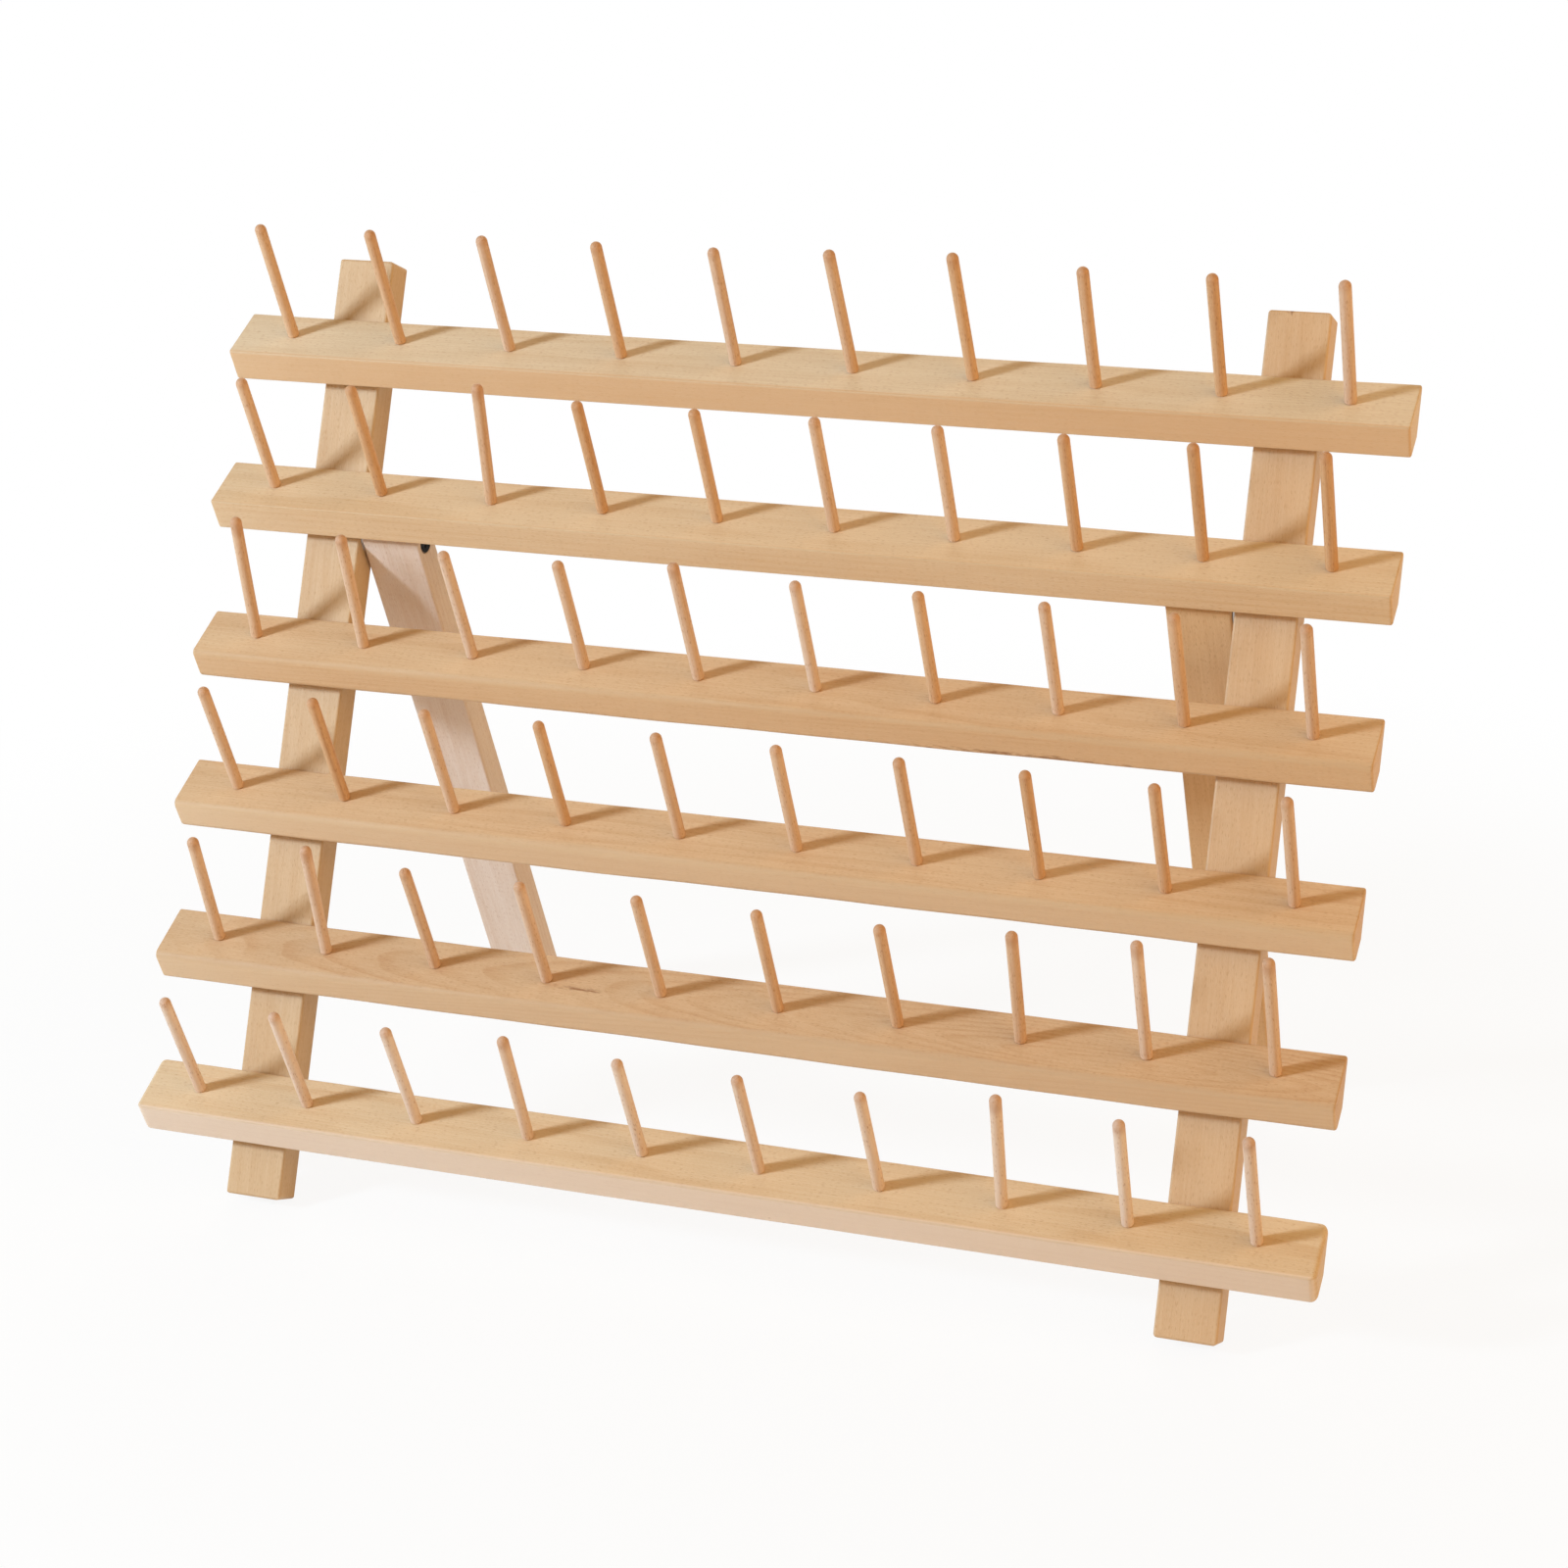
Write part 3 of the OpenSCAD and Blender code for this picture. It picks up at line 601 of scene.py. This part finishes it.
def peg_row(name, row):
    """Ten dowels as turned surfaces. The profile is a thin foot, a shoulder, a shaft and a domed tip;
    it is carried round an axis that leans as that peg does and bows a very little, and the shaft is
    thinned by up to a few hundredths where the dowel isn't round."""
    draw = np.random.default_rng(PEG_SEED + row)
    lean_right, lean_back, proud = np.zeros((3, PEGS))
    for number, right, back, share in ODD_PEGS[row]:
        lean_right[number - 1] = np.radians(right)
        lean_back[number - 1] = np.radians(back)
        proud[number - 1] = share * PEG_DEPTH
    dome = np.linspace(0, np.pi / 2, DOME_RINGS + 1)[:-1]
    shaft = np.linspace(SHAFT_FROM, SHAFT_TO, SHAFT_RINGS)
    shaft_r = PEG_R - SHAFT_IN
    rest = np.concatenate([[-PEG_DEPTH, PEG_NECK, PEG_NECK, PEG_NECK + SHOULDER_RISE], shaft,
                           PEG_LEN - PEG_R + PEG_R * np.sin(dome)])
    width = np.concatenate([[PEG_FOOT_R, PEG_FOOT_R, PEG_R - SHOULDER_IN, shaft_r],
                            np.full(SHAFT_RINGS, shaft_r), shaft_r * np.cos(dome)])
    # a proud peg's foot and tip rise, and its shoulder stays on the rail
    lifted = np.concatenate([[1, 0, 0, 0], shaft / SHAFT_TO, np.ones(DOME_RINGS)])
    height = rest + proud[:, None] * lifted
    around = np.arange(PEG_SIDES) * 2 * np.pi / PEG_SIDES
    phase = draw.uniform(0, 2 * np.pi, (2, PEGS, 1, 1))
    out_of_round = 1 - UNROUND * (1 + np.cos(2 * around + phase[0]))
    radius = np.where((width > PEG_FOOT_R)[:, None], width[:, None] * out_of_round, width[:, None])
    bent = MOST_BOW * draw.uniform(LEAST_BOW_SHARE, 1, (PEGS, 1))
    bow = bent * np.sin(np.pi * np.clip(height / PEG_LEN, 0, 1))
    right = radius * np.cos(around) + bow[..., None] * np.cos(phase[1])
    back = radius * np.sin(around) + bow[..., None] * np.sin(phase[1])
    ends = np.zeros((PEGS, 2, 3))
    ends[:, :, 2] = np.stack([height[:, 0], PEG_LEN + proud - TIP_IN], -1)
    turned = np.stack(np.broadcast_arrays(right, back, height[..., None]), -1)
    local = np.concatenate([turned.reshape(PEGS, -1, 3), ends], axis=1)
    cosine, sine = np.cos(lean_right)[:, None], np.sin(lean_right)[:, None]
    x = local[..., 0] * cosine + local[..., 2] * sine
    up = local[..., 2] * cosine - local[..., 0] * sine
    cosine, sine = np.cos(lean_back)[:, None], np.sin(lean_back)[:, None]
    deep = local[..., 1] * cosine + up * sine
    tall = up * cosine - local[..., 1] * sine
    foot = (np.arange(PEGS)[:, None] - (PEGS - 1) / 2) * PEG_PITCH
    placed = on_rail(row, foot + x, PEG_BACK - deep, -tall)
    piece = skin(name, placed[:, :-2].reshape(PEGS, len(rest), PEG_SIDES, 3), placed[:, -2:])
    own = np.stack([local[..., 2], local[..., 0], local[..., 1]], -1)
    own += draw.uniform(-1, 1, (PEGS, 1, 3)) * GRAIN_SPREAD
    note(piece, "peg_grain", "FLOAT_VECTOR", own)
    note(piece, "peg_tone", "FLOAT", np.repeat(draw.uniform(*PEG_TONES[row], PEGS), placed.shape[1]))
    note(piece, "peg_height", "FLOAT", local[..., 2] / PEG_LEN)
    return piece


def peg_material():
    """Dowel beech: the grain in each peg's own millimetres, between a pinkish pale wood and a browner
    one by that peg's tone, darker at the tip where it was handled."""
    made, tree, shader = start_material("peg_beech")
    place = put(tree, "Attribute", attribute_name="peg_grain").outputs["Vector"]
    tone = put(tree, "Attribute", attribute_name="peg_tone").outputs["Fac"]
    height = put(tree, "Attribute", attribute_name="peg_height").outputs["Fac"]
    pale = blend_colours(tree, tone, PINK_PEG[0], BROWN_PEG[0])
    dark = blend_colours(tree, tone, PINK_PEG[1], BROWN_PEG[1])
    grain = use_group(tree, "beech_grain", Place=place, Pale=pale, Dark=dark, Fleck=PEG_FLECK,
                      Ring_width=PEG_RINGS[0], Ring_share=PEG_RINGS[1], Fleck_share=PEG_FLECKS)
    tip = reckon(tree, "MULTIPLY", ramp(tree, height, TIP_FROM, 1.0), TIP_SHARE)
    colour = blend_colours(tree, tip, grain["Color"], PEG_TIP)
    finish_wood(tree, shader, grain, colour, PEG_RELIEF)
    return made


PEG_BEECH = peg_material()
for row in ODD_PEGS:
    pegs = peg_row(f"beech_pegs_{row}", row)
    pegs.data.materials.append(PEG_BEECH)
    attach(pegs, "rack")
    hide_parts(f"pegs_row_{row}")

# Legs
# Two beech strips, one on the inner side of each upright, the left one paler and pinker than the
# rest. Each turns on a screw below the second rail, and its slanted head stops it against that rail.
LEG_W = 21.0
LEG_PLAY = 0.3
LEG_T = UPRIGHT_T - 2 * LEG_PLAY
LEG_GAP = 0.8
LEG_X = UPRIGHT_X - UPRIGHT_W / 2 - LEG_GAP - LEG_W / 2
LEG_OPEN = np.radians(48.0)
PIVOT_DROP = 22.0
PIVOT_Y = UPRIGHT_T / 2
PIVOT_Z = FIRST_RAIL - RAIL_PITCH - PIVOT_DROP
LEG_BELOW = PIVOT_Z
LEG_TIP = 12.35
LEG_RINGS = (2.4, 0.25)
LEG_TILT = (0.015, 0.01)
LEG_HEARTS = {-1: (80.0, -30.0, 12.0), 1: (770.0, 36.0, -8.0)}
# side, -1 for the left: pale and dark wood, ray flecks, and edges darkened by rubbing and painted shade
LEG_TONES = {-1: (paint(234, 214, 197), paint(218, 187, 162), paint(195, 158, 128), paint(218, 193, 172)),
             1: (paint(224, 186, 140), paint(204, 158, 110), paint(184, 134, 88), paint(206, 168, 126))}
LEG_HALF = ((LEG_BELOW + LEG_TIP) / 2, LEG_T / 2, LEG_W / 2)
leg_drop = (LEG_BELOW - LEG_TIP) / 2
leg_y = PIVOT_Y + leg_drop * np.sin(LEG_OPEN)
leg_z = PIVOT_Z - leg_drop * np.cos(LEG_OPEN)
for side, name in ((-1, "left_leg"), (1, "right_leg")):
    leg_middle = stand(side * LEG_X, leg_y, leg_z)
    leg_tilt = (LEG_TILT[0], LEG_TILT[1] * side)
    leg_beech = strip_material(name + "_beech", LEAN - LEG_OPEN, leg_middle, LEG_HALF, LEG_HEARTS[side],
                               leg_tilt, LEG_TONES[side], LEG_RINGS)
    dress([name], leg_beech)

# Pivot screws and washers
# A blackened wood screw with a countersunk head goes through each leg into its upright, and a thin
# zinc washer keeps the two apart so that the leg can turn.
BLACKENED = metal_material("blackened_steel", paint(34, 30, 26), paint(16, 14, 12),
                           metallic=0.0, least_rough=0.45, shine=0.12)
dress(["left_pivot_screw", "right_pivot_screw"], BLACKENED)
dress(["left_pivot_washer", "right_pivot_washer"], ZINC)

# Hangers
# A zinc plate with an eye is let into the back of each upright near its top and held by two small
# screws, so that the folded rack can hang on a wall.
dress(["left_hanger", "right_hanger", "left_hanger_screws", "right_hanger_screws"], ZINC)

# Floor
# A plain pale floor, wide enough to fill the view. It takes the rack's shadow near by and looks white
# to the camera and in reflections, and no brighter than its own colour to everything else.
FLOOR_RADII = np.array([0.5, 1.5, 4.0, 8.0])
FLOOR_POINTS = 96
FLOOR_GRIT = 60.0
FLOOR_ROUGHNESS = 0.9
FLOOR_TONES = (paint(236, 235, 233), paint(240, 239, 237))
FLOOR_NEAR = 0.25
FLOOR_FAR = 0.6
FLOOR_WHITE = 0.9


def floor_piece():
    """A flat disc at z = 0: rings of growing radius round the origin."""
    point = np.arange(FLOOR_POINTS)
    turn = point * 2 * np.pi / FLOOR_POINTS
    x = FLOOR_RADII[:, None] * np.cos(turn)
    y = FLOOR_RADII[:, None] * np.sin(turn)
    places = np.concatenate([np.stack([x, y, np.zeros_like(x)], -1).reshape(-1, 3), [[0, 0, 0]]])
    after = (point + 1) % FLOOR_POINTS
    ring = np.arange(len(FLOOR_RADII) - 1)[:, None] * FLOOR_POINTS
    outer = ring + FLOOR_POINTS
    quads = np.stack([ring + point, outer + point, outer + after, ring + after], -1).reshape(-1, 4)
    middle = np.stack([np.full(FLOOR_POINTS, x.size), point, after], -1)
    mesh = bpy.data.meshes.new("floor")
    mesh.from_pydata(places.tolist(), [], quads.tolist() + middle.tolist())
    piece = bpy.data.objects.new("floor", mesh)
    bpy.context.scene.collection.objects.link(piece)
    return piece


def seen_directly(tree):
    """One for rays from the camera, from reflections and through glass, and zero for light."""
    path = put(tree, "LightPath").outputs
    return reckon(tree, "MAXIMUM", path["Is Camera Ray"],
                  reckon(tree, "MAXIMUM", path["Is Glossy Ray"], path["Is Transmission Ray"]))


floor = floor_piece()
floor_paint, tree, shader = start_material("floor_white")
spot = put(tree, "TexCoord").outputs["Object"]
grit = put(tree, "TexNoise", {"Vector": spot, "Scale": FLOOR_GRIT}).outputs["Fac"]
away = put(tree, "VectorMath", {0: spot}, operation="LENGTH").outputs["Value"]
whiteness = ramp(tree, away, FLOOR_NEAR, FLOOR_FAR, FLOOR_WHITE, 1.0)
tree.links.new(blend_colours(tree, grit, *FLOOR_TONES), shader.inputs["Base Color"])
shader.inputs["Roughness"].default_value = FLOOR_ROUGHNESS
glow = put(tree, "Emission", {"Strength": 1.0})
cover = put(tree, "MixShader", {0: reckon(tree, "MULTIPLY", seen_directly(tree), whiteness),
                                1: shader.outputs[0], 2: glow.outputs[0]})
tree.links.new(cover.outputs[0], tree.nodes["Material Output"].inputs["Surface"])
floor.data.materials.append(floor_paint)

# Light and camera
# A small cool lamp near by on the left in front, a broad warm one on the right that fills the shadows,
# a weak one behind, and a dim warm room. The camera stands where the photograph was taken from.
KEY_PLACE = (-1.14, -0.95, 0.77)
KEY_SIZE = 0.22
KEY_POWER = 24.2
KEY_TONE = (0.62, 0.8, 1.0)
FILL_PLACE = (1.31, -0.44, 0.96)
FILL_SIZE = 1.75
FILL_POWER = 15.5
FILL_TONE = (1.0, 0.64, 0.26)
BACK_PLACE = (-0.6, 2.6, 1.7)
BACK_SIZE = 2.0
BACK_POWER = 28.0
BACK_TONE = (1.0, 0.92, 0.8)
ROOM_TONE = (1.0, 0.78, 0.48, 1.0)
ROOM_STRENGTH = 0.29
AIM = (0.0, 0.0, 0.16)
CAMERA_PLACE = (0.352899, -0.969328, 0.527524)
CAMERA_TURN = (69.26269, 1.21813, 19.49785)
CAMERA_LENS = 76.447
SENSOR_W = 36.0
NEAR_CUT = 0.01


def soft_lamp(name, place, size, power, colour):
    """A square lamp that faces the rack: its turn takes -Z to the line from its place to the aim."""
    lamp = bpy.data.lights.new(name, "AREA")
    lamp.size = size
    lamp.energy = power
    lamp.color = colour
    piece = bpy.data.objects.new(name, lamp)
    x, y, z = np.subtract(AIM, place)
    piece.location = place
    piece.rotation_euler = (np.arctan2(np.hypot(x, y), -z), 0.0, np.arctan2(-x, y))
    bpy.context.scene.collection.objects.link(piece)


soft_lamp("key_lamp", KEY_PLACE, KEY_SIZE, KEY_POWER, KEY_TONE)
soft_lamp("fill_lamp", FILL_PLACE, FILL_SIZE, FILL_POWER, FILL_TONE)
soft_lamp("back_lamp", BACK_PLACE, BACK_SIZE, BACK_POWER, BACK_TONE)
world = bpy.data.worlds.new("room")
bpy.context.scene.world = world
world.use_nodes = True
tree = world.node_tree
tree.nodes.clear()
room = put(tree, "Background", {"Color": ROOM_TONE, "Strength": ROOM_STRENGTH})
white = put(tree, "Background", {"Color": (1.0, 1.0, 1.0, 1.0), "Strength": 1.0})
both = put(tree, "MixShader", {0: seen_directly(tree), 1: room.outputs[0], 2: white.outputs[0]})
put(tree, "OutputWorld", {"Surface": both.outputs[0]})
camera = bpy.data.objects.new("camera", bpy.data.cameras.new("camera"))
camera.location = CAMERA_PLACE
camera.rotation_euler = np.radians(CAMERA_TURN)
camera.data.lens = CAMERA_LENS
camera.data.sensor_width = SENSOR_W
camera.data.clip_start = NEAR_CUT
bpy.context.scene.collection.objects.link(camera)
bpy.context.scene.camera = camera
bpy.context.scene.view_settings.view_transform = "Standard"

bpy.context.view_layer.update()
